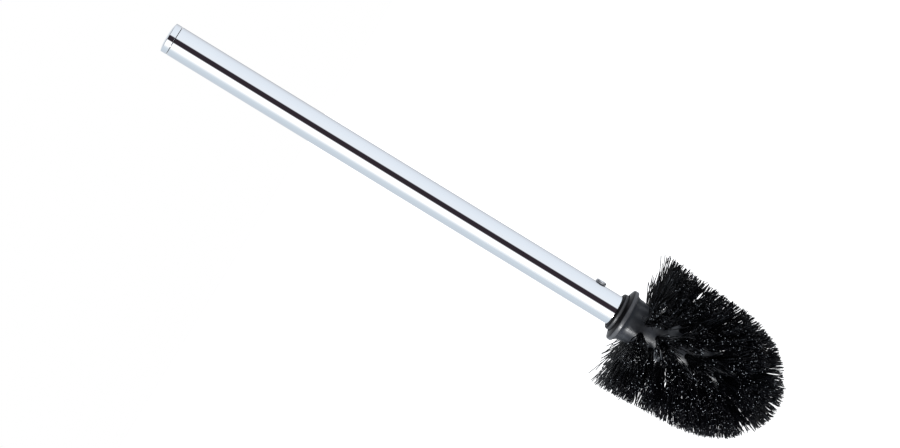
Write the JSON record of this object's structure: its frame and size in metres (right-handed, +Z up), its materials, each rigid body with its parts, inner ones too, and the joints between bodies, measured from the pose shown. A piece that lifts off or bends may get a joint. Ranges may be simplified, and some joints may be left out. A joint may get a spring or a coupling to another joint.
{
  "type": "toilet brush",
  "caption": "Toilet brush: straight chromed tube handle with a plug cap, a flanged moulded core, and an egg-shaped head of black bristle tufts that screws off for replacement.",
  "frame": {"origin": "on the brush's axis, at the bristle tip, which is the middle of the bottom of its bounding box", "axes": "+Z up along the handle's axis, from the bristle tip to the end cap; +X towards the retaining screw; +Y by the right-hand rule"},
  "size_m": [0.0762, 0.0762, 0.363],
  "materials": {
    "chrome": "mirror bright plating",
    "screw_steel": "bright zinc plating",
    "insert_plastic": "moulded, matt",
    "ring_rubber": "smooth moulded",
    "core_plastic": "moulded, satin",
    "bristle": "extruded filament, slight sheen"
  },
  "bodies": {
    "handle": {"handle_tube": "chrome", "end_cap": "chrome", "threaded_insert": "insert_plastic", "retaining_screw": "screw_steel"},
    "collar": {"collar_ring": "ring_rubber"},
    "head": {"brush_core": "core_plastic", "bristle_row_1": "bristle", "bristle_row_2": "bristle", "bristle_row_3": "bristle", "bristle_row_4": "bristle", "bristle_row_5": "bristle", "bristle_row_6": "bristle", "bristle_row_7": "bristle", "bristle_tip": "bristle"}
  },
  "joints": [
    {"name": "head_travel", "type": "slide", "parent": "handle", "child": "collar", "axis": [0, 0, -1], "range_m": [0, 0.015]},
    {"name": "head_turn", "type": "hinge", "parent": "collar", "child": "head", "pos_m": [0, 0, 0.0943], "axis": [0, 0, -1], "range_deg": [0, 1800]}
  ],
  "couplings": [
    {"joint": "head_travel", "follows": "head_turn", "m_per_rad": 0.00047746}
  ]
}
